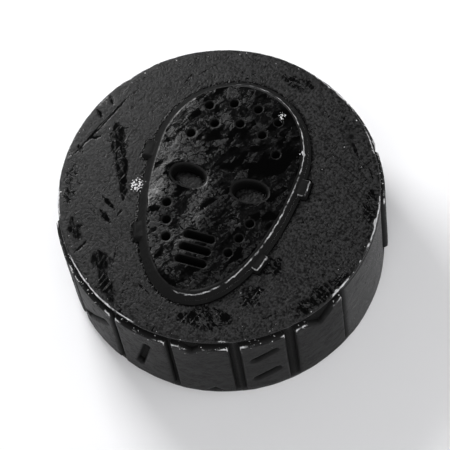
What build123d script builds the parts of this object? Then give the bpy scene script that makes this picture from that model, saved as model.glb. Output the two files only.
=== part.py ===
from build123d import *
import os
from math import cos, radians, sin

# A hockey puck with a goalie mask raised on its top face and a band of raised
# blocks round its side wall. Millimetres, +Z up, origin at the middle of the
# bottom face. The mask stands upright along +Y, with its chin towards -Y.

# Puck
PUCK_DIAMETER = 76.2
PUCK_THICKNESS = 31.75
RIM_ROUND = 0.5
PUCK_RADIUS = PUCK_DIAMETER / 2

# Mask: an egg outline, an ellipse above the widest line and a curve down to a round chin
MASK_LENGTH = 59.0
MASK_WIDTH = 38.0
MASK_EDGE_HEIGHT = 2.2
MASK_CROWN_HEIGHT = 3.0
MASK_WALL_RUN = 2.4
MASK_WIDEST_Y = MASK_LENGTH * 0.15
MASK_HALF_LENGTH = MASK_LENGTH / 2
MASK_HALF_WIDTH = MASK_WIDTH / 2
CHIN_HANDLE = MASK_WIDTH * 0.30
CHEEK_HANDLE = MASK_LENGTH * 0.34
CROWN_RISE = MASK_CROWN_HEIGHT - MASK_EDGE_HEIGHT
CROWN_RADIUS = (MASK_HALF_WIDTH**2 + CROWN_RISE**2) / (2 * CROWN_RISE)

# Strap tabs: a pair at the temples and a pair at the jaw
TAB_LENGTH = 5.0
TAB_WIDTH = 5.0
TAB_HEIGHT = 1.5
TAB_CORNER = 0.7
TEMPLE_TAB_X = 18.0
TEMPLE_TAB_Y = 6.0
JAW_TAB_X = 13.8
JAW_TAB_Y = -14.5
JAW_TAB_TILT = 20

# Eye openings: each a fifth of the mask's width, one width apart, at half its height
EYE_WIDTH = MASK_WIDTH / 5
EYE_HEIGHT = 4.4
EYE_Y = 1.0
EYE_TILT = 6

# Vents
VENT_DIAMETER = 1.5
VENT_ARC_Y = MASK_WIDEST_Y - 4.7
BROW_VENT_RADIUS = 13.0
BROW_VENT_COUNT = 5
BROW_VENT_STEP = 27
CROWN_VENT_RADIUS = 18.0
CROWN_VENT_COUNT = 4
CROWN_VENT_STEP = 19
CHEEK_VENT_COUNT = 3
CHEEK_VENT_START = (10.2, -7.0)
CHEEK_VENT_PITCH = (-1.3, -4.2)
MOUTH_SLOT_COUNT = 3
MOUTH_SLOT_WIDTH = 7.0
MOUTH_SLOT_HEIGHT = 1.3
MOUTH_SLOT_PITCH = 3.2
MOUTH_SLOT_TOP_Y = -13.5

# Nose ridge
NOSE_TOP_Y = 3.0
NOSE_BOTTOM_Y = -10.0
NOSE_TOP_HALF = 0.9
NOSE_BOTTOM_HALF = 2.4
NOSE_HEIGHT = 0.7

# Raised blocks on the side wall, one every BLOCK_PITCH degrees within a group
BLOCK_RELIEF = 0.9
BLOCK_BOTTOM = 3.0
BLOCK_HEIGHT = 26.3
BLOCK_PITCH = 22
BLOCK_SPAN = 20.4
NARROW_BLOCK_SPAN = 16.5
FRONT_BLOCK_COUNT = 6
REAR_BLOCK_COUNT = 7
SLOT_WIDTH = 1.5
LONG_SLOT = 15.0
SHORT_SLOT = 7.0
STEEP_SLANT = 14
WIDE_SLANT = 40
FLAT_SLANT = 60
PAIR_PITCH = 5.4
STACK_PITCH = 11.0
SMALL_NOTCH = 3.4
WIDE_NOTCH = 6.0
NOTCH_STAGGER = 2.0
BLOCK_MIDDLE = BLOCK_BOTTOM + BLOCK_HEIGHT / 2
BLOCK_RADIUS = PUCK_RADIUS + BLOCK_RELIEF
CUT_REACH = 2 * BLOCK_RELIEF

# Directions round the puck, in degrees from +X towards +Y
FRONT = -90
REAR = 90

os.makedirs("parts", exist_ok=True)


def save(piece, name):
    piece.part.label = name
    export_step(piece.part, f"parts/{name}.step")


# The puck itself: one plain disc with both rims slightly rounded
with BuildPart() as puck_body:
    Cylinder(PUCK_RADIUS, PUCK_THICKNESS, align=(Align.CENTER, Align.CENTER, Align.MIN))
    fillet(puck_body.edges().filter_by(GeomType.CIRCLE), RIM_ROUND)
save(puck_body, "puck_body")


# The goalie mask: a sloped outer wall, a crown that falls to both sides, a nose ridge,
# four strap tabs, and openings that go right through to the puck's top face
with BuildPart() as goalie_mask:
    for height, inset in ((0, 0), (MASK_CROWN_HEIGHT, MASK_WALL_RUN)):
        half_width = MASK_HALF_WIDTH - inset
        half_length = MASK_HALF_LENGTH - inset
        dome_height = half_length - MASK_WIDEST_Y
        with BuildSketch(Plane.XY.offset(PUCK_THICKNESS + height)):
            with BuildLine():
                EllipticalCenterArc(
                    (0, MASK_WIDEST_Y), half_width, dome_height, start_angle=0, arc_size=180
                )
                for side in (-1, 1):
                    Bezier(
                        (side * half_width, MASK_WIDEST_Y),
                        (side * half_width, MASK_WIDEST_Y - CHEEK_HANDLE),
                        (side * CHIN_HANDLE, -half_length),
                        (0, -half_length),
                    )
            make_face()
    loft()
    with BuildSketch(Plane.XZ):
        with Locations((0, PUCK_THICKNESS + MASK_CROWN_HEIGHT - CROWN_RADIUS)):
            Circle(CROWN_RADIUS)
    extrude(amount=MASK_LENGTH, both=True, mode=Mode.INTERSECT)

    with BuildSketch(Plane.XY.offset(PUCK_THICKNESS)):
        for side in (-1, 1):
            with Locations((side * TEMPLE_TAB_X, TEMPLE_TAB_Y)):
                RectangleRounded(TAB_WIDTH, TAB_LENGTH, TAB_CORNER)
            with Locations(Location((side * JAW_TAB_X, JAW_TAB_Y), side * -JAW_TAB_TILT)):
                RectangleRounded(TAB_WIDTH, TAB_LENGTH, TAB_CORNER)
    extrude(amount=TAB_HEIGHT)

    with BuildSketch(Plane.XY.offset(PUCK_THICKNESS + MASK_EDGE_HEIGHT)):
        with BuildLine():
            Polyline(
                (-NOSE_TOP_HALF, NOSE_TOP_Y),
                (NOSE_TOP_HALF, NOSE_TOP_Y),
                (NOSE_BOTTOM_HALF, NOSE_BOTTOM_Y),
                (-NOSE_BOTTOM_HALF, NOSE_BOTTOM_Y),
                close=True,
            )
        make_face()
    extrude(amount=CROWN_RISE + NOSE_HEIGHT)

    with BuildSketch(Plane.XY.offset(PUCK_THICKNESS)):
        for side in (-1, 1):
            with Locations(Location((side * EYE_WIDTH, EYE_Y), side * EYE_TILT)):
                Ellipse(EYE_WIDTH / 2, EYE_HEIGHT / 2)
            for step in range(CHEEK_VENT_COUNT):
                vent_x = side * (CHEEK_VENT_START[0] + step * CHEEK_VENT_PITCH[0])
                vent_y = CHEEK_VENT_START[1] + step * CHEEK_VENT_PITCH[1]
                with Locations((vent_x, vent_y)):
                    Circle(VENT_DIAMETER / 2)
        for radius, count, step in (
            (BROW_VENT_RADIUS, BROW_VENT_COUNT, BROW_VENT_STEP),
            (CROWN_VENT_RADIUS, CROWN_VENT_COUNT, CROWN_VENT_STEP),
        ):
            with Locations((0, VENT_ARC_Y)):
                spread = step * (count - 1)
                with PolarLocations(radius, count, 90 - spread / 2, spread, endpoint=True):
                    Circle(VENT_DIAMETER / 2)
        with Locations((0, MOUTH_SLOT_TOP_Y - MOUTH_SLOT_PITCH)):
            with GridLocations(0, MOUTH_SLOT_PITCH, 1, MOUTH_SLOT_COUNT):
                SlotOverall(MOUTH_SLOT_WIDTH, MOUTH_SLOT_HEIGHT)
    extrude(amount=MASK_CROWN_HEIGHT + NOSE_HEIGHT, mode=Mode.SUBTRACT)
save(goalie_mask, "goalie_mask")


# Side blocks: each is a sector of a thin ring on the side wall. Its cuts are drawn on
# the plane that touches the wall at its middle and go through to the wall.
def slanted_slots(count, length, slant, spread, climb=0.0):
    """Parallel slots that lean by the slant from upright, their middles set apart."""
    for step in range(count):
        offset = step - (count - 1) / 2
        with Locations((offset * spread, offset * climb)):
            SlotOverall(length, SLOT_WIDTH, rotation=90 - slant)


def edge_notch(across, size, edge):
    """A notch with straight sides in the top edge (1) or the bottom edge (-1)."""
    with Locations((across, edge * BLOCK_HEIGHT / 2)):
        Rectangle(size, size, rotation=45)


def draw_block_cuts(pattern):
    if pattern == "paired slots":
        slanted_slots(2, LONG_SLOT, STEEP_SLANT, spread=PAIR_PITCH)
    elif pattern == "crossing slot":
        slanted_slots(1, LONG_SLOT, WIDE_SLANT, spread=0)
    elif pattern == "steep slot":
        slanted_slots(1, LONG_SLOT, STEEP_SLANT, spread=0)
    elif pattern == "staggered notches":
        edge_notch(-NOTCH_STAGGER, SMALL_NOTCH, 1)
        edge_notch(NOTCH_STAGGER, SMALL_NOTCH, -1)
    elif pattern == "stacked slots":
        slanted_slots(2, SHORT_SLOT, FLAT_SLANT, spread=0, climb=STACK_PITCH)
    elif pattern == "top notch":
        edge_notch(0, WIDE_NOTCH, 1)


def side_block(name, azimuth, span, pattern):
    """One raised block with its middle at the azimuth."""
    with BuildPart() as block:
        with BuildSketch(Plane.XY.offset(BLOCK_BOTTOM)):
            with BuildLine():
                inner = CenterArc((0, 0), PUCK_RADIUS, azimuth - span / 2, span)
                outer = CenterArc((0, 0), BLOCK_RADIUS, azimuth - span / 2, span)
                Line(inner @ 0, outer @ 0)
                Line(inner @ 1, outer @ 1)
            make_face()
        extrude(amount=BLOCK_HEIGHT)
        outward = Vector(cos(radians(azimuth)), sin(radians(azimuth)), 0)
        rightward = Vector(-outward.Y, outward.X, 0)
        wall_point = outward * PUCK_RADIUS + Vector(0, 0, BLOCK_MIDDLE)
        with BuildSketch(Plane(origin=wall_point, x_dir=rightward, z_dir=outward)):
            draw_block_cuts(pattern)
        extrude(amount=CUT_REACH, both=True, mode=Mode.SUBTRACT)
    save(block, name)


block_patterns = (
    ("paired slots", BLOCK_SPAN),
    ("crossing slot", BLOCK_SPAN),
    ("steep slot", BLOCK_SPAN),
    ("staggered notches", BLOCK_SPAN),
    ("stacked slots", NARROW_BLOCK_SPAN),
    ("top notch", BLOCK_SPAN),
)
for group, middle, count in (("front", FRONT, FRONT_BLOCK_COUNT), ("rear", REAR, REAR_BLOCK_COUNT)):
    for number in range(count):
        azimuth = middle + (number - (count - 1) / 2) * BLOCK_PITCH
        pattern, span = block_patterns[number % len(block_patterns)]
        side_block(f"side_block_{group}_{number + 1}", azimuth, span, pattern)
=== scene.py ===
import math

import bmesh
import bpy
import numpy as np
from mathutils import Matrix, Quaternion, Vector


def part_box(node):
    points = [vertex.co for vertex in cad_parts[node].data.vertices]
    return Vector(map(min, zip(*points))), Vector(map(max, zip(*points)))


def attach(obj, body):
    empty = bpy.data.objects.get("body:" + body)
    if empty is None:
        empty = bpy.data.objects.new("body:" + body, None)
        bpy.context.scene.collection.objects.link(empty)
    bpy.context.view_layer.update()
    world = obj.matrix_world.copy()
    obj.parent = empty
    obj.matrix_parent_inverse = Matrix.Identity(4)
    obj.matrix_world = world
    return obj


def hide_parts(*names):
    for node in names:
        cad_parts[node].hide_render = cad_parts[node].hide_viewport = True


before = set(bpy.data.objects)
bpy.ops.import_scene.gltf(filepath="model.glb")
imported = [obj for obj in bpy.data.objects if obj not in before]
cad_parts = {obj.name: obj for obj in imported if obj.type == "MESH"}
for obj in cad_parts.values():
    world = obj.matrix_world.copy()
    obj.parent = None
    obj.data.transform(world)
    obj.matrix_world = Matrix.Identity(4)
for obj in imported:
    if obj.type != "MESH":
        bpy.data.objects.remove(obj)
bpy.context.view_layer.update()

# A worn black hockey puck: a scuffed disc, a goalie mask raised on its top face and a band of
# raised blocks round its side wall. Lengths are in millimetres until a mesh is made.

MM = 0.001
SEED = 7


# ---------------------------------------------------------------- sizes read from the frame
def box_mm(node):
    """A node's lowest and highest corners in millimetres."""
    low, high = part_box(node)
    return np.array(low) / MM, np.array(high) / MM


puck_low, puck_high = box_mm("puck_body")
mask_low, mask_high = box_mm("goalie_mask")
PUCK_RADIUS = (puck_high[0] - puck_low[0]) / 2
PUCK_TOP = puck_high[2]
PUCK_MIDDLE = PUCK_TOP / 2
block_nodes = sorted(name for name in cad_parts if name.startswith("side_block"))


def node_sector(node):
    """Where a side block lies: middle azimuth, half width along the wall, low and high z, relief."""
    points = np.array([v.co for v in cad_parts[node].data.vertices]) / MM
    middle = math.atan2(points[:, 1].mean(), points[:, 0].mean())
    turn = np.arctan2(points[:, 1], points[:, 0]) - middle
    turn = (turn + math.pi) % (2 * math.pi) - math.pi
    azimuth = middle + (turn.min() + turn.max()) / 2
    half_width = PUCK_RADIUS * (turn.max() - turn.min()) / 2
    relief = np.hypot(points[:, 0], points[:, 1]).max() - PUCK_RADIUS
    return azimuth, half_width, points[:, 2].min(), points[:, 2].max(), relief


# ---------------------------------------------------------------- noise and shaping functions
def lattice_value(cell, seed):
    """A fixed random number from -1 to 1 for each whole-number cell."""
    keys = cell.astype(np.int64).astype(np.uint64)
    code = keys[..., 0] * np.uint64(374761393) + keys[..., 1] * np.uint64(668265263)
    code = code + keys[..., 2] * np.uint64(2246822519) + np.uint64(seed * 3266489917 + 11)
    code = (code ^ (code >> np.uint64(15))) * np.uint64(2654435761)
    code = (code ^ (code >> np.uint64(13))) * np.uint64(1274126177)
    return ((code >> np.uint64(17)) & np.uint64(0xFFFF)).astype(float) / 32767.5 - 1.0


def value_noise(points, size, seed):
    """Smooth noise from -1 to 1 with features of about the size."""
    scaled = points / size
    cell = np.floor(scaled)
    part = scaled - cell
    part = part * part * (3 - 2 * part)
    total = np.zeros(len(points))
    for corner in np.ndindex(2, 2, 2):
        step = np.array(corner)
        weight = np.prod(np.where(step, part, 1 - part), axis=1)
        total += weight * lattice_value(cell + step, seed)
    return total


def fractal_noise(points, size, seed, octaves=3):
    """Several octaves of noise, each half the size and half the height of the last."""
    total = np.zeros(len(points))
    for octave in range(octaves):
        total += value_noise(points, size / 2**octave, seed + octave) / 2**octave
    return total


def smooth_step(low, high, value):
    part = np.clip((value - low) / (high - low), 0, 1)
    return part * part * (3 - 2 * part)


def soft_min(first, second, blend):
    """The smaller of two values, with the corner between them rounded off."""
    overlap = np.maximum(blend - np.abs(first - second), 0) / blend
    return np.minimum(first, second) - overlap**2 * blend / 4


def stroke_distance(x, y, stroke):
    """Distance from points to a stroke's line, and how far along it they are, from 0 to 1."""
    x1, y1, x2, y2 = stroke[:4]
    across, up = x2 - x1, y2 - y1
    along = np.clip(((x - x1) * across + (y - y1) * up) / (across**2 + up**2), 0, 1)
    return np.hypot(x - x1 - along * across, y - y1 - along * up), along


def stroke_taper(along):
    """How wide a stroke is along its line: widest in its middle and narrow at its ends."""
    return 0.35 + 2.6 * along * (1 - along)


# ---------------------------------------------------------------- wear marks on the top face
# Each is (x1, y1, x2, y2, width, strength): a line on the top face, how wide and how strong it is.
GOUGES = (
    (-26.0, -8.5, -22.0, -11.0, 1.2, 1.0),
    (-25.5, -12.0, -22.0, -14.5, 1.5, 1.0),
    (-20.5, -10.5, -21.0, -12.5, 0.8, 0.8),
    (-33.8, 5.0, -31.8, 6.2, 1.4, 1.0),
    (-34.9, 12.8, -32.8, 11.2, 1.2, 1.0),
    (-36.2, 2.7, -34.3, 0.8, 1.2, 1.0),
    (-33.0, 17.5, -31.6, 15.2, 1.3, 0.9),
    (-27.5, -24.0, -25.8, -20.5, 0.8, 0.8),
    (-7.5, -29.0, -10.5, -27.5, 0.7, 0.8),
)
SCRATCHES = (
    (-36.0, 0.5, -29.0, 17.5, 1.0, 1.0),
    (-29.0, 17.5, -27.0, 21.0, 0.5, 0.6),
    (-16.0, 28.0, -17.0, 25.0, 0.6, 0.7),
    (-15.0, 27.5, -9.5, 34.0, 0.4, 0.5),
    (-18.0, -25.5, -18.5, -20.0, 0.5, 0.7),
    (-14.5, -29.0, -12.0, -24.5, 0.4, 0.5),
    (12.5, -24.5, 17.5, -21.0, 0.5, 0.8),
    (32.0, 16.0, 34.0, 13.0, 0.5, 0.7),
    (26.5, 21.0, 29.0, 17.5, 0.9, 0.7),
    (19.0, -28.5, 23.0, -25.0, 0.4, 0.5),
)
BLOTCHES = (
    (-35.0, -3.0, -33.5, -12.0, 4.5, 0.6),
    (-36.0, 14.0, -34.0, 18.0, 3.0, 0.8),
    (2.0, -32.5, 12.0, -30.0, 6.5, 1.0),
    (14.0, -25.5, 17.0, -21.0, 5.5, 0.95),
    (17.0, -16.0, 19.0, -13.0, 5.5, 1.0),
    (6.0, 33.5, 13.0, 32.5, 4.0, 0.8),
    (34.5, 10.0, 36.0, 2.0, 3.5, 0.8),
    (27.0, -25.0, 35.0, -12.0, 4.5, 0.8),
)
SMEARS = (
    (-29.0, 10.5, -25.5, 2.0, 4.6, 0.9),
    (-26.5, 5.0, -23.0, -3.0, 3.8, 1.0),
    (-24.0, 0.0, -21.0, -8.0, 2.0, 1.0),
    (-22.5, -22.5, -19.0, -27.0, 5.5, 0.7),
    (-20.0, -27.0, -15.0, -33.0, 4.5, 0.65),
    (-31.0, -16.0, -28.0, -21.0, 4.5, 0.55),
    (24.0, 25.0, 27.0, 20.0, 4.0, 0.35),
)
# Worn stretches of the top rim: (azimuth in degrees, half spread, strength)
RIM_WEAR = (
    (141, 4, 1.0),
    (65, 11, 1.0),
    (36, 8, 0.6),
    (4, 13, 0.8),
    (-24, 5, 0.9),
    (-70, 8, 0.5),
    (-107, 3.5, 1.0),
    (-126, 17, 0.85),
    (-160, 6, 1.0),
)
BASE_RIM_WEAR = 0.22
RIM_ROUND = 0.5
RIM_REACH = 0.75
CHIP_COUNT = 170
DING_COUNT = 45
# The groove round the wall under the top rim, which is also painted dark as shade, and how deep the other
# marks are
GROOVE_DROP = 1.5
GROOVE_SPREAD = 0.3
GROOVE_DEPTH = 0.16
HOLLOW_DEPTH = 0.5
GOUGE_DEPTH = 0.04
SCRATCH_DEPTH = 0.01


def rim_strength(azimuth):
    """How worn the top rim is at each azimuth, in degrees."""
    total = np.full(len(azimuth), BASE_RIM_WEAR)
    for middle, spread, strength in RIM_WEAR:
        away = (azimuth - middle + 180) % 360 - 180
        share = np.exp(-((away / spread) ** 2))
        total = np.maximum(total, BASE_RIM_WEAR + (strength - BASE_RIM_WEAR) * share)
    return total


# ---------------------------------------------------------------- mesh making
def disc_grid(rings):
    """A unit disc as a square grid bent round: its points, its quads and its rim in order of angle."""
    steps = np.arange(-rings, rings + 1) / rings
    a, b = np.meshgrid(steps, steps, indexing="ij")
    wide = np.abs(a) >= np.abs(b)
    radius = np.where(wide, a, b)
    divisor = np.where(radius == 0, 1, radius)
    turn = np.where(wide, math.pi / 4 * b / divisor, math.pi / 2 - math.pi / 4 * a / divisor)
    points = np.stack([radius * np.cos(turn), radius * np.sin(turn)], axis=-1).reshape(-1, 2)
    index = np.arange(len(points)).reshape(a.shape)
    quads = np.stack([index[:-1, :-1], index[1:, :-1], index[1:, 1:], index[:-1, 1:]], axis=-1)
    rim = index[np.maximum(np.abs(a), np.abs(b)) > 1 - 1e-9]
    angle = np.arctan2(points[rim, 1], points[rim, 0]) % (2 * math.pi)
    return points, quads.reshape(-1, 4), rim[np.argsort(np.round(angle, 9))]


def even_strip(upper, lower):
    """Quads between two closed rows with the same number of points."""
    return np.stack([upper, lower, np.roll(lower, -1), np.roll(upper, -1)], axis=-1)


def halving_strip(upper, lower):
    """Triangles between a closed row and a row with half as many points."""
    first, second, third = upper[0::2], upper[1::2], np.roll(upper[0::2], -1)
    after = np.roll(lower, -1)
    fans = ((first, lower, second), (second, lower, after), (second, after, third))
    return np.concatenate([np.stack(fan, axis=-1) for fan in fans])


def make_piece(name, points, faces, attributes, sharp_angle):
    """A mesh object from points in millimetres, with one number for each point in each attribute."""
    mesh = bpy.data.meshes.new(name)
    mesh.from_pydata((points * MM).tolist(), [], [list(map(int, face)) for face in faces])
    mesh.polygons.foreach_set("use_smooth", [True] * len(mesh.polygons))
    mesh.set_sharp_from_angle(angle=math.radians(sharp_angle))
    for key, values in attributes.items():
        layer = mesh.attributes.new(key, "FLOAT", "POINT")
        layer.data.foreach_set("value", np.asarray(values, dtype=np.float32))
    piece = bpy.data.objects.new(name, mesh)
    bpy.context.scene.collection.objects.link(piece)
    return piece


# ---------------------------------------------------------------- the disc
TOP_RINGS = 110
BOTTOM_RINGS = TOP_RINGS // 2
RIM_ROWS = 6
FINE_ROW = 0.22
FINE_DEPTH = 1.5
WALL_ROWS = 54


def disc_layout():
    """The disc's points and normals before wear, and its faces."""
    flat_radius = PUCK_RADIUS - RIM_ROUND
    top_points, top_quads, top_rim = disc_grid(TOP_RINGS)
    points = [np.column_stack([top_points * flat_radius, np.full(len(top_points), PUCK_TOP)])]
    normals = [np.tile([0.0, 0.0, 1.0], (len(top_points), 1))]
    faces = [top_quads]
    row = top_rim
    count = len(top_points)

    def add_row(radius, height, lean, columns):
        nonlocal count
        turn = np.arange(columns) * 2 * math.pi / columns
        ring = [np.cos(turn), np.sin(turn)]
        points.append(np.column_stack([radius * ring[0], radius * ring[1], np.full(columns, height)]))
        out, up = math.cos(lean), math.sin(lean)
        normals.append(np.column_stack([out * ring[0], out * ring[1], np.full(columns, up)]))
        count += columns
        return np.arange(count - columns, count)

    def rim_rows(columns, first, last, centre_height, rows, row):
        for step in range(1, rows + 1):
            lean = first + (last - first) * step / RIM_ROWS
            radius = flat_radius + RIM_ROUND * math.cos(lean)
            lower = add_row(radius, centre_height + RIM_ROUND * math.sin(lean), lean, columns)
            faces.append(even_strip(row, lower))
            row = lower
        return row

    columns = len(top_rim)
    row = rim_rows(columns, math.pi / 2, 0, PUCK_TOP - RIM_ROUND, RIM_ROWS, row)
    height = PUCK_TOP - RIM_ROUND
    while height > PUCK_TOP - RIM_ROUND - FINE_DEPTH:
        height -= FINE_ROW
        lower = add_row(PUCK_RADIUS, height, 0, columns)
        faces.append(even_strip(row, lower))
        row = lower
    columns //= 2
    heights = np.linspace(height, RIM_ROUND, WALL_ROWS + 1)[1:]
    for step, height in enumerate(heights):
        lower = add_row(PUCK_RADIUS, height, 0, columns)
        faces.append(halving_strip(row, lower) if step == 0 else even_strip(row, lower))
        row = lower
    row = rim_rows(columns, 0, -math.pi / 2, RIM_ROUND, RIM_ROWS - 1, row)
    low_points, low_quads, low_rim = disc_grid(BOTTOM_RINGS)
    points.append(np.column_stack([low_points * flat_radius, np.zeros(len(low_points))]))
    normals.append(np.tile([0.0, 0.0, -1.0], (len(low_points), 1)))
    faces.append(even_strip(row, low_rim + count))
    faces.append((low_quads + count)[:, ::-1])
    return np.concatenate(points), np.concatenate(normals), faces


def dent_depth(points, normals, generator):
    """Small dings scattered over every face."""
    depth = np.zeros(len(points))
    for pick in generator.integers(0, len(points), DING_COUNT):
        size = generator.uniform(0.25, 0.7)
        stretch = generator.uniform(1.0, 3.5)
        away = points - points[pick]
        side = np.cross(normals[pick], generator.normal(size=3))
        side /= np.linalg.norm(side)
        along = away @ side
        square = (away**2).sum(1) - along**2 * (1 - 1 / stretch**2)
        depth += generator.uniform(0.02, 0.08) * np.exp(-square / size**2)
    return depth


def chip_depth(points, generator):
    """Small chips out of the top rim, deepest where it is most worn."""
    x, y, z = points.T
    depth = np.zeros(len(points))
    for middle in generator.uniform(-180, 180, CHIP_COUNT):
        size = generator.uniform(0.25, 1.0)
        deep = generator.uniform(0.05, 0.30) * rim_strength(np.array([middle]))[0]
        lift = generator.uniform(-0.4, 0.4)
        centre = np.array([math.cos(math.radians(middle)), math.sin(math.radians(middle))])
        away = np.hypot(x - centre[0] * PUCK_RADIUS, y - centre[1] * PUCK_RADIUS)
        away = np.hypot(away, z - PUCK_TOP - lift)
        depth += deep * np.exp(-((away / size) ** 2))
    return depth


def disc_wear(points, normals):
    """How far each point is worn in, and the marks that the material reads."""
    generator = np.random.default_rng(SEED)
    x, y, z = points.T
    radius = np.hypot(x, y)
    azimuth = np.degrees(np.arctan2(y, x))
    on_top = normals[:, 2] > 0.7
    wall = 1 - np.abs(normals[:, 2])
    sink = 0.035 * fractal_noise(points, 11, 1) * (1 + wall)
    sink += 0.006 * value_noise(points, 0.8, 5)
    corner = np.hypot(PUCK_RADIUS - radius, PUCK_TOP - z)
    ragged = 0.5 + 0.5 * fractal_noise(points, 1.6, 20, 2)
    strength = rim_strength(azimuth)
    rim_fall = np.exp(-((corner / RIM_REACH) ** 2))
    sink += strength * rim_fall * (0.05 + 0.14 * ragged)
    chips = chip_depth(points, generator)
    sink += chips
    low_corner = np.hypot(PUCK_RADIUS - radius, z)
    low_fall = np.exp(-((low_corner / RIM_REACH) ** 2))
    sink += low_fall * (0.05 + 0.14 * ragged)
    for marks, deep in ((GOUGES, GOUGE_DEPTH), (SCRATCHES, SCRATCH_DEPTH)):
        for mark in marks:
            away, along = stroke_distance(x, y, mark)
            reach = mark[4] * 0.6 * stroke_taper(along)
            sink += np.where(on_top, deep * mark[5] * np.exp(-((away / reach) ** 2)), 0)
    # The shade share beside the raised pieces sinks a small hollow in the wall, and is painted dark as shade
    # in the material.
    corner_shade = painted_corner_shade(points, on_top)
    groove = np.exp(-(((PUCK_TOP - z - GROOVE_DROP) / GROOVE_SPREAD) ** 2)) * wall
    sink += GROOVE_DEPTH * groove + HOLLOW_DEPTH * np.where(on_top, 0, corner_shade)
    sink += dent_depth(points, normals, generator)
    attributes = {
        "worn": np.where(z > PUCK_MIDDLE, strength, BASE_RIM_WEAR),
        "edge": np.clip(np.minimum(corner, low_corner), 0, 3),
        "chipped": np.clip(chips / 0.25, 0, 1),
        # Painted shade: the corners beside the raised pieces and the groove under the top rim.
        "corner_shade": np.maximum(corner_shade, 0.8 * groove),
        "scuffed": 2.8 * np.where(on_top, scuff_patch(x, y), 0),
    }
    for name, marks in (("blotch", BLOTCHES), ("smear", SMEARS)):
        attributes[name] = np.where(on_top, mark_field(x, y, marks), -1)
    return sink, attributes


def mark_field(x, y, marks):
    """How strongly each point lies on the marks: 0.5 on an outline, more inside, -1 far outside."""
    best = np.full(len(x), -1.0)
    for mark in marks:
        away, along = stroke_distance(x, y, mark)
        reach = mark[4] / 2 * stroke_taper(along)
        best = np.maximum(best, mark[5] * np.clip(1.5 - away / reach, -1, 1.2))
    return best


def painted_corner_shade(points, on_top):
    """How much painted shade each point of the disc gets: in the corners beside the raised pieces, where
    shade falls.
    """
    x, y, z = points.T
    beside_mask = -mask_field(x, y)
    azimuth = np.arctan2(y, x)
    beside_block = np.full(len(x), 1e3)
    for node in block_nodes:
        middle, half_width, low_z, high_z, _ = node_sector(node)
        turn = (azimuth - middle + math.pi) % (2 * math.pi) - math.pi
        out_s = np.abs(turn) * PUCK_RADIUS - half_width
        out_z = np.abs(z - (low_z + high_z) / 2) - (high_z - low_z) / 2
        away = np.hypot(np.maximum(out_s, 0), np.maximum(out_z, 0))
        beside_block = np.minimum(beside_block, away)
    # Painted shade: a dark band on the top face round the foot of the mask, and on the wall round and
    # between the side blocks.
    near_mask = np.exp(-((np.maximum(beside_mask, 0) / 0.55) ** 2))
    near_block = np.exp(-((beside_block / 1.4) ** 4))
    return np.where(on_top, near_mask, near_block)


def make_disc():
    points, normals, faces = disc_layout()
    sink, attributes = disc_wear(points, normals)
    base = points[:, 2] < 1e-6
    sink = np.where(base, np.maximum(sink, 0), sink)
    face_list = [face for group in faces for face in group]
    return make_piece("puck_disc", points - normals * sink[:, None], face_list, attributes, 60)


# ---------------------------------------------------------------- raised relief
def relief_piece(name, low, high, pitch, field, shape, place, skirt):
    """A closed raised piece over the flat region where field is positive. shape gives the height
    and the attributes at each point, and place puts points and heights on the puck."""
    columns = int(math.ceil((high[0] - low[0]) / pitch)) + 1
    rows = int(math.ceil((high[1] - low[1]) / pitch)) + 1
    u, v = np.meshgrid(low[0] + pitch * np.arange(columns), low[1] + pitch * np.arange(rows), indexing="ij")
    inside_by = field(u.ravel(), v.ravel()).reshape(u.shape)
    inside = inside_by > 0
    number = np.full(u.shape, -1)
    number[inside] = np.arange(inside.sum())
    flat = [np.column_stack([u[inside], v[inside]])]
    first_crossing = count = int(inside.sum())
    crossings = []
    for axis in (0, 1):
        near = (slice(None, -1), slice(None)) if axis == 0 else (slice(None), slice(None, -1))
        far = (slice(1, None), slice(None)) if axis == 0 else (slice(None), slice(1, None))
        crossed = inside[near] != inside[far]
        share = inside_by[near] / np.where(crossed, inside_by[near] - inside_by[far], 1)
        share = np.clip(share, 0.03, 0.97)
        spot = np.full(crossed.shape, -1)
        spot[crossed] = count + np.arange(crossed.sum())
        across = u[near] + (u[far] - u[near]) * share
        up = v[near] + (v[far] - v[near]) * share
        flat.append(np.column_stack([across[crossed], up[crossed]]))
        count += int(crossed.sum())
        crossings.append(spot)
    flat = np.concatenate(flat)
    corners = np.stack([inside[:-1, :-1], inside[1:, :-1], inside[1:, 1:], inside[:-1, 1:]])
    whole = corners.all(0)
    quads = np.stack([number[:-1, :-1], number[1:, :-1], number[1:, 1:], number[:-1, 1:]], axis=-1)
    faces = quads[whole].tolist()
    open_edges = []
    for i, j in zip(*np.nonzero(corners.any(0) & ~whole)):
        around = ((i, j), (i + 1, j), (i + 1, j + 1), (i, j + 1))
        sides = (crossings[0][i, j], crossings[1][i + 1, j], crossings[0][i, j + 1], crossings[1][i, j])
        polygon = []
        for k in range(4):
            here, after = around[k], around[(k + 1) % 4]
            if inside[here]:
                polygon.append(int(number[here]))
            if inside[here] != inside[after]:
                polygon.append(int(sides[k]))
        faces.append(polygon)
        for k in range(len(polygon)):
            start, end = polygon[k], polygon[(k + 1) % len(polygon)]
            if start >= first_crossing and end >= first_crossing:
                open_edges.append((start, end))
    height, attributes = shape(flat[:, 0], flat[:, 1])
    edge_points = sorted({point for edge in open_edges for point in edge})
    height[edge_points] = 0.0
    skirt_of = {point: count + order for order, point in enumerate(edge_points)}
    for start, end in open_edges:
        faces.append([end, start, skirt_of[start], skirt_of[end]])
    back = back_faces(flat, open_edges, skirt_of)
    flat = np.concatenate([flat, flat[edge_points]])
    height = np.concatenate([height, np.full(len(edge_points), -skirt)])
    attributes = {key: np.concatenate([values, values[edge_points]]) for key, values in attributes.items()}
    return make_piece(name, place(flat[:, 0], flat[:, 1], height), faces + back, attributes, 55)


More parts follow.
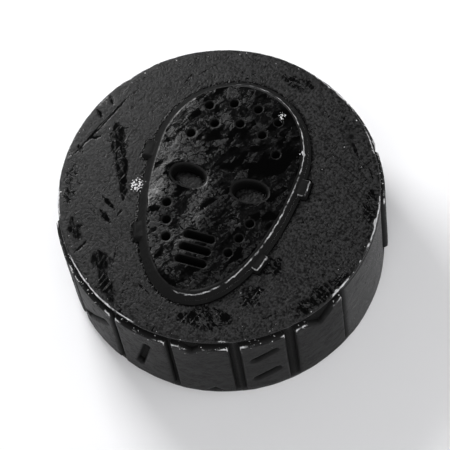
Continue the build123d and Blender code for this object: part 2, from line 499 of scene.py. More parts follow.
def back_faces(flat, open_edges, skirt_of):
    """Triangles that close the hidden back between its outline and its openings."""
    work = bmesh.new()
    made = {}
    for point in np.ravel(open_edges).tolist():
        made[point] = work.verts.new((flat[point, 0], flat[point, 1], 0))
    order = {vertex: skirt_of[point] for point, vertex in made.items()}
    edges = [work.edges.new((made[start], made[end])) for start, end in open_edges]
    bmesh.ops.triangle_fill(work, edges=edges, use_beauty=True, normal=(0, 0, 1))
    faces = []
    for face in work.faces:
        corners = [order[vertex] for vertex in face.verts]
        face.normal_update()
        faces.append(corners[::-1] if face.normal.z > 0 else corners)
    work.free()
    return faces


# ---------------------------------------------------------------- the goalie mask
MASK_HALF_LENGTH = (mask_high[1] - mask_low[1]) / 2
MASK_HALF_WIDTH = 19.0
MASK_WIDEST_Y = MASK_HALF_LENGTH * 0.3
CHIN_HANDLE = MASK_HALF_WIDTH * 0.6
CHEEK_HANDLE = MASK_HALF_LENGTH * 0.68
MASK_EDGE_HEIGHT = 2.2
MASK_CROWN_RISE = 0.8
MASK_WALL_RUN = 1.76
MASK_PITCH = 0.2
MASK_MARGIN = 1
TAB_HEIGHT = 1.5
TAB_HALF = 2.5
TAB_CORNER = 0.7
TABS = ((18.0, 6.0, 0), (13.8, -14.5, -20))
EYE_HALF_WIDTH = 3.8
EYE_HALF_HEIGHT = 2.2
EYE_X = 7.6
EYE_Y = 1.0
EYE_TILT = 6
VENT_RADIUS = 0.75
VENT_ARC_Y = MASK_WIDEST_Y - 4.7
VENT_ARCS = ((13.0, 5, 27), (18.0, 4, 19))
CHEEK_VENTS = tuple((10.2 - 1.3 * step, -7.0 - 4.2 * step) for step in range(3))
MOUTH_SLOTS = tuple(-13.5 - 3.2 * step for step in range(3))
MOUTH_SLOT_HALF = 3.5
MOUTH_SLOT_RADIUS = 0.65
# The side of the mask whose pale edge line is painted fuller, as a highlight where the edge catches the
# light
LIT_EDGE_SIDE = math.radians(2)
# The nose ridge as a line, its half width at its top, how much wider it gets, and its height
NOSE_LINE = (0, 5, 0, -8.5)
NOSE_HALF_WIDTH = 2.8
NOSE_FLARE = 2.0
NOSE_HEIGHT = 0.3
# Soft swells of the face as (x, y, reach across, reach up, height)
SWELLS = ((-11.5, -7.5, 4.0, 5.5, 0.30), (11.5, -7.5, 4.0, 5.5, 0.30), (0, -17, 6.5, 6.5, 0.35))
# Bared patches on and beside the mask as (x, y, reach)
SCUFF_PATCHES = ((-18.8, -3.4, 2.1), (9.0, 21.7, 1.2), (16.5, 14.0, 1.0))
# How far a raised piece's hidden edge goes into the disc
MASK_SKIRT = 0.35
BLOCK_SKIRT = 0.8


def egg_outline(samples=720):
    """The mask's outline: an ellipse above its widest line and a curve down to a round chin."""
    turn = np.linspace(0, math.pi, samples // 2, endpoint=False)
    dome = np.column_stack([
        MASK_HALF_WIDTH * np.cos(turn),
        MASK_WIDEST_Y + (MASK_HALF_LENGTH - MASK_WIDEST_Y) * np.sin(turn),
    ])
    part = np.linspace(0, 1, samples // 4, endpoint=False)[:, None]
    handles = np.array([
        (-MASK_HALF_WIDTH, MASK_WIDEST_Y),
        (-MASK_HALF_WIDTH, MASK_WIDEST_Y - CHEEK_HANDLE),
        (-CHIN_HANDLE, -MASK_HALF_LENGTH),
        (0, -MASK_HALF_LENGTH),
    ])
    weights = ((1 - part) ** 3, 3 * part * (1 - part) ** 2, 3 * part**2 * (1 - part), part**3)
    left = sum(weight * handle for weight, handle in zip(weights, handles))
    right = left[:0:-1] * (-1, 1)
    return np.concatenate([dome, left, right])


outline = egg_outline()
outline_turn = np.arctan2(outline[:, 1], outline[:, 0])
outline_order = np.argsort(outline_turn)
outline_turn = outline_turn[outline_order]
outline_radius = np.hypot(outline[:, 0], outline[:, 1])[outline_order]
outline_slope = np.gradient(outline_radius, outline_turn)
outline_lean = outline_radius / np.hypot(outline_radius, outline_slope)


def egg_inside(x, y):
    """How far inside the mask's outline a point is."""
    turn = np.arctan2(y, x)
    reach = np.interp(turn, outline_turn, outline_radius, period=2 * math.pi)
    lean = np.interp(turn, outline_turn, outline_lean, period=2 * math.pi)
    return (reach - np.hypot(x, y)) * lean


def turned(x, y, degrees):
    turn = math.radians(degrees)
    return x * math.cos(turn) + y * math.sin(turn), y * math.cos(turn) - x * math.sin(turn)


def rounded_inside(across, up, half_width, half_height, corner):
    """How far inside a rectangle with rounded corners a point is."""
    out_x = np.abs(across) - half_width + corner
    out_y = np.abs(up) - half_height + corner
    away = np.hypot(np.maximum(out_x, 0), np.maximum(out_y, 0))
    return corner - (away + np.minimum(np.maximum(out_x, out_y), 0))


def tab_inside(x, y):
    """How far inside the nearest strap tab a point is."""
    best = np.full(x.shape, -1e3)
    for side in (-1, 1):
        for tab_x, tab_y, tilt in TABS:
            across, up = turned(x - side * tab_x, y - tab_y, side * tilt)
            best = np.maximum(best, rounded_inside(across, up, TAB_HALF, TAB_HALF, TAB_CORNER))
    return best


def eye_scale(x, y, side):
    """1 on an eye opening's edge, less inside and more outside, and the size of one unit."""
    across, up = turned(x - side * EYE_X, y - EYE_Y, side * EYE_TILT)
    reach = np.hypot(across / EYE_HALF_WIDTH, up / EYE_HALF_HEIGHT)
    slope = np.hypot(across / EYE_HALF_WIDTH**2, up / EYE_HALF_HEIGHT**2)
    return reach, reach / np.maximum(slope, 1e-6)


def eye_outside(x, y):
    best = np.full(x.shape, 1e3)
    for side in (-1, 1):
        reach, unit = eye_scale(x, y, side)
        best = np.minimum(best, (reach - 1) * unit)
    return best


def vent_outside(x, y):
    """How far outside the nearest vent or mouth slot a point is."""
    centres = [(side * cheek_x, cheek_y) for cheek_x, cheek_y in CHEEK_VENTS for side in (-1, 1)]
    for radius, count, step in VENT_ARCS:
        for number in range(count):
            turn = math.radians(90 + step * (number - (count - 1) / 2))
            centres.append((radius * math.cos(turn), VENT_ARC_Y + radius * math.sin(turn)))
    best = np.full(x.shape, 1e3)
    for centre_x, centre_y in centres:
        best = np.minimum(best, np.hypot(x - centre_x, y - centre_y) - VENT_RADIUS)
    for slot_y in MOUTH_SLOTS:
        beyond = np.maximum(np.abs(x) - MOUTH_SLOT_HALF + MOUTH_SLOT_RADIUS, 0)
        best = np.minimum(best, np.hypot(beyond, y - slot_y) - MOUTH_SLOT_RADIUS)
    return best


def scuff_patch(x, y):
    """The shares of the bared patches on and beside the mask."""
    total = np.zeros(len(x))
    for patch_x, patch_y, reach in SCUFF_PATCHES:
        total += np.exp(-(((x - patch_x) ** 2 + (y - patch_y) ** 2) / reach**2))
    return total


def mask_field(x, y):
    outer = np.maximum(egg_inside(x, y), tab_inside(x, y))
    return np.minimum(outer, np.minimum(eye_outside(x, y), vent_outside(x, y)))


def mask_shape(x, y):
    """The mask's height above the top face, and its worn edges, whose pale line is made fuller on the side
    facing +X as a painted highlight.
    """
    points = np.column_stack([x, y, np.zeros(len(x))])
    egg, tab = egg_inside(x, y), tab_inside(x, y)
    eye, vent = eye_outside(x, y), vent_outside(x, y)
    face = MASK_EDGE_HEIGHT + MASK_CROWN_RISE * (1 - np.clip(x / MASK_HALF_WIDTH, -1, 1) ** 2)
    nose, along = stroke_distance(x, y, NOSE_LINE)
    ridge = smooth_step(0, 1.3, 1.3 - nose / (NOSE_HALF_WIDTH + NOSE_FLARE * along))
    face += NOSE_HEIGHT * smooth_step(0, 0.9, along) * ridge
    for side in (-1, 1):
        reach, _ = eye_scale(x, y, side)
        face += 0.06 * np.exp(-(((reach - 1.55) / 0.35) ** 2))
    for swell_x, swell_y, across, up, rise in SWELLS:
        face += rise * np.exp(-(((x - swell_x) / across) ** 2 + ((y - swell_y) / up) ** 2))
    face += 0.05 * fractal_noise(points, 6.0, 31, 2) + 0.012 * fractal_noise(points, 1.3, 35, 2)
    ragged = fractal_noise(points, 1.1, 41, 2)
    wall = egg / MASK_WALL_RUN * MASK_EDGE_HEIGHT
    height = soft_min(wall + 0.10 * ragged, face, 0.5)
    tab_top = np.full(len(x), TAB_HEIGHT) + 0.08 * ragged
    height = np.maximum(height, soft_min(tab / 0.5 * TAB_HEIGHT, tab_top, 0.5))
    height = np.maximum(height, 0)
    height *= smooth_step(-0.05, 0.6, eye) * 0.96 + 0.04 * smooth_step(0.3, 1.2, eye)
    height *= smooth_step(-0.05, 0.32, vent) * 0.97 + 0.03 * smooth_step(0.1, 0.6, vent)
    # The pale edge line is partly wear and partly a painted highlight: it is made fuller on the side facing
    # +X, where the edge catches the light.
    lit_facing = smooth_step(-0.55, 0.15, np.cos(np.arctan2(y, x) - LIT_EDGE_SIDE))
    patch = scuff_patch(x, y)
    crest = MASK_WALL_RUN * 0.95
    attributes = {
        "worn": np.clip(0.3 + 0.6 * lit_facing + patch, 0, 1),
        "edge": np.clip(egg - crest, -3, 3),
        "tab": np.where(egg > 0.7, 3, np.clip(tab - 0.45, -3, 3)),
        "lip": np.clip(np.minimum(eye - 0.6, vent - 0.3), -3, 3),
        "wall": np.maximum(
            smooth_step(-0.75, -0.35, crest - egg),
            np.maximum(smooth_step(0, 0.3, 1.1 - eye), smooth_step(0, 0.25, 0.65 - vent)),
        ),
        "scuffed": 2.8 * patch,
    }
    return height, attributes


def place_on_top(x, y, height):
    return np.column_stack([x, y, PUCK_TOP + height])


def make_mask():
    return relief_piece(
        "mask_relief",
        (mask_low[0] - MASK_MARGIN, mask_low[1] - MASK_MARGIN),
        (mask_high[0] + MASK_MARGIN, mask_high[1] + MASK_MARGIN),
        MASK_PITCH,
        mask_field,
        mask_shape,
        place_on_top,
        MASK_SKIRT,
    )


# ---------------------------------------------------------------- the side blocks
BLOCK_PITCH = 0.26
BLOCK_MARGIN = 0.6
BLOCK_WALL_RUN = 0.4
BLOCK_CORNER = 0.35
SLOT_RADIUS = 0.75
LONG_SLOT = 15.0
SHORT_SLOT = 7.0
STEEP_SLANT = 14
WIDE_SLANT = 40
FLAT_SLANT = 60
PAIR_PITCH = 5.4
STACK_PITCH = 11.0
SMALL_NOTCH = 3.4
WIDE_NOTCH = 6.0
NOTCH_STAGGER = 2.0
# The cuts of each pattern: slots as (across, up, length, slant) and notches as (across, size, edge)
BLOCK_SLOTS = (
    ((-PAIR_PITCH / 2, 0, LONG_SLOT, STEEP_SLANT), (PAIR_PITCH / 2, 0, LONG_SLOT, STEEP_SLANT)),
    ((0, 0, LONG_SLOT, WIDE_SLANT),),
    ((0, 0, LONG_SLOT, STEEP_SLANT),),
    (),
    ((0, -STACK_PITCH / 2, SHORT_SLOT, FLAT_SLANT), (0, STACK_PITCH / 2, SHORT_SLOT, FLAT_SLANT)),
    (),
)
BLOCK_NOTCHES = (
    (), (), (),
    ((-NOTCH_STAGGER, SMALL_NOTCH, 1), (NOTCH_STAGGER, SMALL_NOTCH, -1)),
    (),
    ((0, WIDE_NOTCH, 1),),
)


def make_block(node):
    """The worn raised block that stands for one side block of the frame."""
    azimuth, half_width, low_z, high_z, relief = node_sector(node)
    number = int(node.rsplit("_", 1)[1]) - 1
    slots = BLOCK_SLOTS[number % len(BLOCK_SLOTS)]
    notches = BLOCK_NOTCHES[number % len(BLOCK_NOTCHES)]
    half_height = (high_z - low_z) / 2
    middle_z = (high_z + low_z) / 2

    def field(s, t):
        inside = rounded_inside(s, t, half_width, half_height, BLOCK_CORNER)
        for across, up, length, slant in slots:
            along, aside = turned(s - across, t - up, 90 - slant)
            beyond = np.maximum(np.abs(along) - length / 2 + SLOT_RADIUS, 0)
            inside = np.minimum(inside, np.hypot(beyond, aside) - SLOT_RADIUS)
        for across, size, edge in notches:
            reach = np.abs(s - across) + np.abs(t - edge * half_height)
            inside = np.minimum(inside, (reach - size * math.sqrt(0.5)) * math.sqrt(0.5))
        return inside

    def shape(s, t):
        points = place(s, t, 0)
        inside = field(s, t)
        ragged = fractal_noise(points, 1.2, 61, 2)
        face = relief + 0.05 * fractal_noise(points, 5, 65) + 0.02 * value_noise(points, 0.9, 70)
        face -= 0.25 * relief * np.exp(-((inside / 0.5) ** 2)) * (0.6 + 0.6 * ragged)
        height = soft_min(inside / BLOCK_WALL_RUN * relief, face, 0.35)
        upper = smooth_step(0, half_height, t)
        corner = np.exp(-(((half_width - np.abs(s)) / 2.2) ** 2 + ((half_height - t) / 2.2) ** 2))
        crest = BLOCK_WALL_RUN * 0.9
        attributes = {
            "worn": np.clip(0.25 + 0.3 * upper + 0.45 * corner + 0.12 * ragged, 0, 1),
            "edge": np.clip(inside - crest, -3, 3),
            "wall": smooth_step(0.05, 0.25, crest - inside),
            "scuffed": 1.1 * np.exp(-(((half_height - t) / 3.0) ** 2)),
        }
        return np.maximum(height, 0), attributes

    def place(s, t, height):
        turn = azimuth + s / PUCK_RADIUS
        reach = PUCK_RADIUS + height
        return np.column_stack([reach * np.cos(turn), reach * np.sin(turn), t + middle_z])

    low = (-half_width - BLOCK_MARGIN, -half_height - BLOCK_MARGIN)
    high = (half_width + BLOCK_MARGIN, half_height + BLOCK_MARGIN)
    name = node.replace("side_block", "raised_block")
    return relief_piece(name, low, high, BLOCK_PITCH, field, shape, place, BLOCK_SKIRT)


# ---------------------------------------------------------------- materials
PALE_ROUGHNESS = 0.5
WALL_ROUGHNESS = 0.68
DARK_TONE = 0.0015
# Roughness in the painted shade of the wall's hollows, and in the shiny dark marks of the top face
SHADED_HOLLOW_ROUGHNESS = 0.95
MARK_ROUGHNESS = 0.08


class Shader:
    """A material whose nodes are added by short calls. A value may be a number or a socket."""

    def __init__(self, name):
        self.material = bpy.data.materials.new(name)
        self.material.use_nodes = True
        self.tree = self.material.node_tree
        self.tree.nodes.clear()
        self.surface = self.node("BsdfPrincipled")
        output = self.node("OutputMaterial")
        self.tree.links.new(self.surface.outputs[0], output.inputs["Surface"])

    def node(self, kind, values=(), **settings):
        made = self.tree.nodes.new("ShaderNode" + kind)
        for key, value in settings.items():
            setattr(made, key, value)
        for key, value in dict(values).items():
            self.fill(made.inputs[key], value)
        return made

    def fill(self, socket, value):
        if isinstance(value, bpy.types.NodeSocket):
            self.tree.links.new(value, socket)
        else:
            socket.default_value = value

    def math(self, operation, first, second=0.0):
        return self.node("Math", {0: first, 1: second}, operation=operation).outputs[0]

    def times(self, first, second):
        return self.math("MULTIPLY", first, second)

    def plus(self, first, second):
        return self.math("ADD", first, second)

    def largest(self, *values):
        """The largest of two or more values."""
        most = values[0]
        for value in values[1:]:
            most = self.math("MAXIMUM", most, value)
        return most

    def step(self, value, low, high, to_low=0.0, to_high=1.0):
        """A smooth change from one value to another as value goes from low to high."""
        values = {"Value": value, "From Min": low, "From Max": high, "To Min": to_low, "To Max": to_high}
        return self.node("MapRange", values, interpolation_type="SMOOTHSTEP").outputs[0]

    def mix(self, share, first, second):
        return self.node("Mix", {0: share, 2: first, 3: second}, data_type="FLOAT").outputs[0]

    def grey(self, value):
        """A neutral colour with the brightness of value."""
        cool = self.times(value, 1.02)
        return self.node("CombineColor", {0: value, 1: value, 2: cool}).outputs[0]

    def noise(self, place, scale, detail=2.0, roughness=0.5, distortion=0.0):
        values = {"Vector": place, "Scale": scale, "Detail": detail}
        values.update({"Roughness": roughness, "Distortion": distortion})
        return self.node("TexNoise", values).outputs["Fac"]

    def attribute(self, name):
        return self.node("Attribute", attribute_name=name).outputs["Fac"]

    def place(self):
        """The point on the object, in millimetres."""
        start = self.node("TexCoord").outputs["Object"]
        return self.node("VectorMath", {0: start, "Scale": 1 / MM}, operation="SCALE").outputs[0]

    def stretched(self, place, degrees, along, across):
        """The point as seen along a direction on the XY plane, so that noise on it runs in streaks."""
        turn = (0, 0, math.radians(degrees))
        values = {"Vector": place, "Rotation": turn, "Scale": (along, across, across)}
        return self.node("Mapping", values, vector_type="TEXTURE").outputs[0]

    def shake(self, amount, place, scale, detail, roughness=0.5):
        """Noise about nought, for moving an outline in and out."""
        noise = self.noise(place, scale, detail, roughness)
        return self.times(self.math("SUBTRACT", noise, 0.5), amount)


def stroke_group():
    """A node group: how much a point lies on the stroke from Start to End, from 0 to 1."""
    group = bpy.data.node_groups.new("stroke", "ShaderNodeTree")
    for name in ("Point", "Start", "End"):
        group.interface.new_socket(name, in_out="INPUT", socket_type="NodeSocketVector")
    group.interface.new_socket("Width", in_out="INPUT", socket_type="NodeSocketFloat")
    group.interface.new_socket("Share", in_out="OUTPUT", socket_type="NodeSocketFloat")
    nodes, links = group.nodes, group.links
    start = nodes.new("NodeGroupInput")
    finish = nodes.new("NodeGroupOutput")

    def vector(operation, first, second=None, scale=None, output=0):
        made = nodes.new("ShaderNodeVectorMath")
        made.operation = operation
        links.new(first, made.inputs[0])
        if second is not None:
            links.new(second, made.inputs[1])
        if scale is not None:
            links.new(scale, made.inputs["Scale"])
        return made.outputs[output]

    def number(operation, first, second, clamp=False):
        made = nodes.new("ShaderNodeMath")
        made.operation = operation
        made.use_clamp = clamp
        for socket, value in zip(made.inputs, (first, second)):
            if isinstance(value, bpy.types.NodeSocket):
                links.new(value, socket)
            else:
                socket.default_value = value
        return made.outputs[0]

    away = vector("SUBTRACT", start.outputs["Point"], start.outputs["Start"])
    line = vector("SUBTRACT", start.outputs["End"], start.outputs["Start"])
    dot = vector("DOT_PRODUCT", away, line, output="Value")
    square = vector("DOT_PRODUCT", line, line, output="Value")
    along = number("DIVIDE", dot, square, clamp=True)
    foot = vector("SCALE", line, scale=along)
    aside = vector("LENGTH", vector("SUBTRACT", away, foot), output="Value")
    bulge = number("MULTIPLY", along, number("SUBTRACT", 1.0, along))
    taper = number("ADD", number("MULTIPLY", bulge, 2.6), 0.35)
    reach = number("MULTIPLY", taper, number("MULTIPLY", start.outputs["Width"], 0.5))
    ratio = number("DIVIDE", aside, reach)
    ramp = nodes.new("ShaderNodeMapRange")
    ramp.interpolation_type = "SMOOTHSTEP"
    links.new(ratio, ramp.inputs["Value"])
    for socket, value in (("From Min", 0.55), ("From Max", 1.25), ("To Min", 1.0), ("To Max", 0.0)):
        ramp.inputs[socket].default_value = value
    links.new(ramp.outputs[0], finish.inputs["Share"])
    return group


def stroke_marks(shader, place, marks, group):
    """The strongest of the marks at each point."""
    strongest = 0.0
    for x1, y1, x2, y2, width, strength in marks:
        made = shader.node("Group", node_tree=group)
        shader.fill(made.inputs["Point"], place)
        made.inputs["Start"].default_value = (x1, y1, 0)
        made.inputs["End"].default_value = (x2, y2, 0)
        made.inputs["Width"].default_value = width
        strongest = shader.largest(shader.times(made.outputs[0], strength), strongest)
    return strongest


def drawn_marks(shader, place, name, size, amount):
    """How much a point lies on the marks of one kind, from a mesh attribute, with ragged outlines."""
    shake = shader.shake(amount, place, 1 / size, 4.0, 0.6)
    return shader.step(shader.plus(shader.attribute(name), shake), 0.15, 0.85)


def flattened(shader, place):
    """The point with no height, and the share of the top face at it."""
    split = shader.node("SeparateXYZ", {0: place})
    flat = shader.node("CombineXYZ", {"X": split.outputs["X"], "Y": split.outputs["Y"], "Z": 0.0}).outputs[0]
    return flat, shader.step(split.outputs["Z"], PUCK_TOP - 1.2, PUCK_TOP - 0.6)


def shaken(shader, place, size, amount):
    """The point moved a little by noise, so that outlines on it are ragged."""
    colour = shader.node("TexNoise", {"Vector": place, "Scale": 1 / size, "Detail": 3.0}).outputs["Color"]
    centred = shader.node("VectorMath", {0: colour, 1: (0.5, 0.5, 0.5)}, operation="SUBTRACT").outputs[0]
    moved = shader.node("VectorMath", {0: centred, "Scale": amount}, operation="SCALE").outputs[0]
    return shader.node("VectorMath", {0: place, 1: moved}, operation="ADD").outputs[0]


def worn_lines(shader, place, lines):
    """Thin broken pale lines where an attribute is near nought, fuller where the piece is worn.
    Each line is (attribute, half width, strength)."""
    worn = shader.attribute("worn")
    shake = shader.shake(0.5, place, 0.8, 3.0)
    patchy = shader.noise(place, 0.5, 4.0, 0.65)
    strongest = 0.0
    for name, half_width, strength in lines:
        away = shader.math("ABSOLUTE", shader.plus(shader.attribute(name), shake))
        line = shader.step(away, half_width * 1.5, half_width * 0.5)
        wear = shader.plus(shader.times(worn, strength), patchy)
        line = shader.times(line, shader.step(wear, 1.02, 1.30))
        strongest = shader.largest(line, strongest)
    return strongest


def speckles(shader, place, share):
    """Small pale specks of bared rubber, thickest where share is near 1."""
    level = shader.plus(shader.noise(place, 2.1, 1.0, 0.4), shader.times(share, 0.25))
    return shader.step(level, 0.84, 0.88)


def finish_surface(s, tone, roughness, pale, pale_tone, specular, height, depth):
    """Joins a material's tone, roughness and fine height to its surface, pale wear over the rest."""
    s.fill(s.surface.inputs["Base Color"], s.grey(s.mix(pale, tone, pale_tone)))
    s.fill(s.surface.inputs["Roughness"], s.mix(pale, roughness, PALE_ROUGHNESS))
    s.surface.inputs["Specular IOR Level"].default_value = specular
    bump = s.node("Bump", {"Height": height, "Distance": depth * MM, "Strength": 1.0})
    s.fill(s.surface.inputs["Normal"], bump.outputs[0])


def disc_material(group):
    """Matte scuffed rubber: fine grain, faint scratches, dark gouges and blotches, pale worn rims, and
    painted shade beside the raised pieces and under the top rim.
    """
    s = Shader("scuffed rubber")
    place = s.place()
    flat, top = flattened(s, place)
    grain = s.step(s.noise(place, 2.0, 1.0, 0.6), 0.28, 0.76)
    cloud = s.noise(place, 0.09, 5.0, 0.55, 0.6)
    patch = s.noise(place, 0.35, 6.0, 0.6)
    hairs = s.largest(*(
        s.step(s.noise(s.stretched(place, turn, 10.0, 0.35), 1.0, 2.0), 0.62, 0.70) for turn in (70, -25)
    ))
    flecks = s.step(s.noise(s.stretched(place, 65, 2.2, 0.8), 0.55, 4.0, 0.6, 0.5), 0.62, 0.67)
    gouges = s.times(stroke_marks(s, shaken(s, flat, 1.1, 1.0), GOUGES, group), top)
    scratches = s.times(stroke_marks(s, shaken(s, flat, 0.8, 0.6), SCRATCHES, group), top)
    threads = s.noise(s.stretched(place, -30, 1.8, 0.8), 0.75, 5.0, 0.72, 0.6)
    blotches = s.times(drawn_marks(s, place, "blotch", 3.0, 2.2), s.step(threads, 0.42, 0.52))
    streaks = s.noise(s.stretched(place, -68, 3.0, 0.6), 0.8, 4.0, 0.6)
    smears = drawn_marks(s, place, "smear", 2.0, 1.8)
    smears = s.times(smears, s.step(streaks, 0.35, 0.55, 0.6, 1.0))
    dark = s.largest(gouges, scratches, s.times(blotches, 0.95), smears)
    # The corner attribute is painted shade: it darkens the corners beside the raised pieces and the groove
    # under the rim to the darkest tone.
    dark = s.largest(dark, s.times(flecks, 0.55), s.attribute("corner_shade"))
    tone = s.times(s.mix(cloud, 0.7, 1.3), s.mix(grain, 0.001, 0.024))
    tone = s.mix(dark, s.times(tone, s.mix(hairs, 1.0, 0.7)), DARK_TONE)
    rough = s.plus(s.mix(cloud, 0.38, 0.30), s.times(grain, 0.18))
    rough = s.plus(rough, s.times(s.step(patch, 0.35, 0.65), 0.05))
    rough = s.mix(dark, s.mix(hairs, rough, 0.28), s.mix(top, SHADED_HOLLOW_ROUGHNESS, MARK_ROUGHNESS))
    speck = s.noise(place, 2.0, 4.0, 0.7)
    near_rim = s.step(s.attribute("edge"), 2.6, 0.3, 0.0, 0.26)
    bared = s.plus(near_rim, s.times(s.attribute("scuffed"), s.noise(place, 0.9, 3.0)))
    dots = speckles(s, place, s.plus(bared, s.times(s.noise(place, 0.2, 2.0), 0.3)))
    chips = s.step(s.plus(s.attribute("chipped"), s.times(speck, 0.8)), 0.85, 1.15)
    pale = s.largest(worn_lines(s, place, (("edge", 0.32, 1.1),)), dots, s.times(chips, 0.7))
    marked = s.largest(gouges, scratches, blotches, smears)
    height = s.plus(s.times(grain, s.mix(marked, 0.6, 0.05)), s.times(patch, 0.5))
    height = s.math("SUBTRACT", height, s.times(hairs, 0.3))
    finish_surface(s, tone, rough, pale, s.mix(speck, 0.15, 1.0), 0.15, height, 0.07)
    return s.material


def relief_material(name, tones, roughness, scuff_range, slope, specular, lines):
    """Mottled rubber: glossy black broken by matte scuffed patches, fine cracks and pale worn edges.
    tones and roughness are (glossy, scuffed), and slope makes scuffs commoner in one direction."""
    s = Shader(name)
    place = s.place()
    grain = s.step(s.noise(place, 1.6, 2.0, 0.7), 0.3, 0.7)
    broad = s.noise(place, 0.16, 4.0, 0.6, 0.8)
    fine = s.noise(s.stretched(place, 58, 1.8, 0.8), 0.4, 6.0, 0.65, 0.4)
    shaken_place = shaken(s, s.stretched(place, 58, 1.7, 0.8), 0.9, 1.0)
    shards = s.node("TexVoronoi", {"Vector": shaken_place, "Scale": 0.42}).outputs["Color"]
    shards = s.node("SeparateColor", {0: shards}).outputs[0]
    mottle = s.plus(s.times(broad, 0.4), s.times(fine, 0.4))
    mottle = s.plus(mottle, s.times(shards, 0.2))
    tilt = s.node("VectorMath", {0: place, 1: slope}, operation="DOT_PRODUCT").outputs["Value"]
    scuff = s.step(s.plus(mottle, tilt), *scuff_range)
    jagged = s.noise(s.stretched(place, 65, 1.9, 0.8), 0.5, 5.0, 0.62, 0.4)
    scuff = s.times(scuff, s.step(s.plus(jagged, tilt), 0.46, 0.52, 0.30, 1.0))
    # The side walls lose their scuffs and keep the darkest glossy tone: painted shade on the walls of the
    # raised pieces, besides their higher roughness.
    wall = s.attribute("wall")
    scuff = s.times(scuff, s.math("SUBTRACT", 1.0, wall))
    cells = {"Vector": shaken(s, place, 1.6, 2.6), "Scale": 0.3}
    cell_edge = s.node("TexVoronoi", cells, feature="DISTANCE_TO_EDGE").outputs["Distance"]
    crack = s.times(s.step(cell_edge, 0.055, 0.02), s.step(broad, 0.44, 0.54))
    crack = s.times(crack, scuff)
    tone = s.mix(scuff, tones[0], s.times(tones[1], s.mix(grain, 0.4, 1.6)))
    tone = s.mix(crack, tone, tones[0])
    rough = s.mix(scuff, roughness[0], s.plus(s.times(grain, 0.18), roughness[1]))
    rough = s.mix(wall, s.mix(crack, rough, roughness[0]), WALL_ROUGHNESS)
    speck = s.noise(place, 2.2, 4.0, 0.7)
    bared = s.times(s.attribute("scuffed"), s.noise(place, 0.9, 3.0))
    pale = s.largest(worn_lines(s, place, lines), speckles(s, place, bared))
    height = s.plus(s.times(grain, s.mix(scuff, 0.08, 0.45)), s.times(fine, 0.3))
    height = s.mix(crack, height, 0.2)
    finish_surface(s, tone, rough, pale, s.mix(speck, 0.1, 0.9), specular, height, 0.06)
    return s.material


def floor_material():
    """A plain pale tabletop with a barely visible grain."""
    s = Shader("pale floor")
    grain = s.noise(s.place(), 0.02, 3.0)
    s.fill(s.surface.inputs["Base Color"], s.grey(s.mix(grain, 0.88, 0.92)))
    s.surface.inputs["Roughness"].default_value = 0.7
    return s.material


# ---------------------------------------------------------------- pieces
def finish_piece(piece, material, node):
    piece.data.materials.append(material)
    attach(piece, "root")
    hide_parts(node)


finish_piece(make_disc(), disc_material(stroke_group()), "puck_body")
mask_material = relief_material(
    "glossy relief",
    tones=(0.001, 0.009),
    roughness=(0.08, 0.215),
    scuff_range=(0.41, 0.53),
    slope=(-0.0012, -0.0012, 0),
    specular=0.16,
    lines=(("edge", 0.10, 0.74), ("tab", 0.10, 0.72), ("lip", 0.08, 0.25)),
)
finish_piece(make_mask(), mask_material, "goalie_mask")
block_material = relief_material(
    "side relief",
    tones=(0.001, 0.006),
    roughness=(0.5, 0.55),
    scuff_range=(0.40, 0.54),
    slope=(0, 0, 0),
    specular=0.14,
    lines=(("edge", 0.10, 0.82),),
)
for node in block_nodes:
    finish_piece(make_block(node), block_material, node)

# ---------------------------------------------------------------- floor, light and camera
FLOOR_HALF = 2.5
bpy.ops.mesh.primitive_plane_add(size=2 * FLOOR_HALF, location=(0, 0, 0))
floor = bpy.context.object
floor.name = "floor"
floor.data.materials.append(floor_material())

target = np.array([0, 0, PUCK_MIDDLE * MM])


def direction(azimuth, elevation):
    """A unit vector: azimuth in degrees from -Y towards +X, elevation in degrees above the floor."""
    turn, rise = math.radians(azimuth), math.radians(elevation)
    return np.array([math.sin(turn) * math.cos(rise), -math.cos(turn) * math.cos(rise), math.sin(rise)])


def aim(thing, place, at, roll=0.0):
    """Puts a light or camera at place, looking at a point, turned by roll about its line of sight."""
    look = Vector(at - place).to_track_quat("-Z", "Y")
    thing.rotation_mode = "QUATERNION"
    thing.rotation_quaternion = look @ Quaternion((0, 0, 1), math.radians(roll))
    thing.location = place


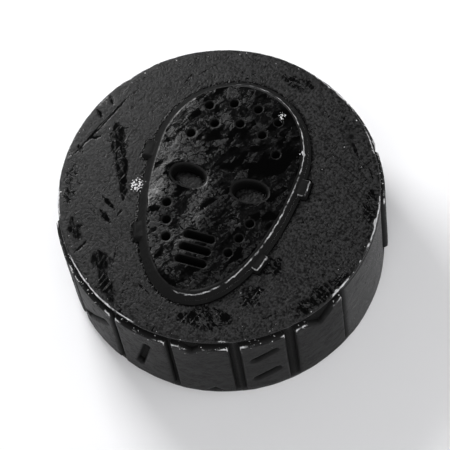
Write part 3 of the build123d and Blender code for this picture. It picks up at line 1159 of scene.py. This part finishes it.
def softbox(name, azimuth, elevation, distance, width, height, power):
    """A rectangular light aimed at the puck, in metres and watts."""
    lamp = bpy.data.lights.new(name, "AREA")
    lamp.shape = "RECTANGLE"
    lamp.size = width
    lamp.size_y = height
    lamp.energy = power
    thing = bpy.data.objects.new(name, lamp)
    bpy.context.scene.collection.objects.link(thing)
    aim(thing, target + direction(azimuth, elevation) * distance, target)


softbox("key softbox", 233, 44, 0.26, 0.09, 0.09, 0.57)
softbox("right softbox", 95, 40, 0.8, 0.5, 0.3, 1.2)
softbox("front softbox", 28, 58, 1.2, 0.8, 0.8, 6.0)

# A sky that is bright near the horizon and dim overhead
world = bpy.data.worlds.new("studio")
bpy.context.scene.world = world
world.use_nodes = True
world_nodes, world_links = world.node_tree.nodes, world.node_tree.links
sky = world_nodes["Background"]
coordinates = world_nodes.new("ShaderNodeTexCoord")
parts = world_nodes.new("ShaderNodeSeparateXYZ")
ramp = world_nodes.new("ShaderNodeMapRange")
ramp.interpolation_type = "SMOOTHSTEP"
for socket, value in (("From Min", 0.1), ("From Max", 0.62), ("To Min", 2.0), ("To Max", 0.03)):
    ramp.inputs[socket].default_value = value
world_links.new(coordinates.outputs["Generated"], parts.inputs[0])
world_links.new(parts.outputs["Z"], ramp.inputs["Value"])
world_links.new(ramp.outputs[0], sky.inputs["Strength"])
sky.inputs["Color"].default_value = (1.0, 1.0, 1.0, 1.0)

CAMERA_AZIMUTH = 28.0
CAMERA_ELEVATION = 64.7
CAMERA_DISTANCE = 0.618
CAMERA_ROLL = -10.9
camera_data = bpy.data.cameras.new("camera")
camera_data.sensor_width = 36
camera_data.lens = 205.8
camera_data.shift_x = 0.0022
camera_data.shift_y = -0.0100
camera_data.clip_start = 0.01
camera = bpy.data.objects.new("camera", camera_data)
bpy.context.scene.collection.objects.link(camera)
aim(camera, target + direction(CAMERA_AZIMUTH, CAMERA_ELEVATION) * CAMERA_DISTANCE, target, CAMERA_ROLL)
bpy.context.scene.camera = camera
bpy.context.scene.view_settings.view_transform = "Standard"

bpy.context.view_layer.update()
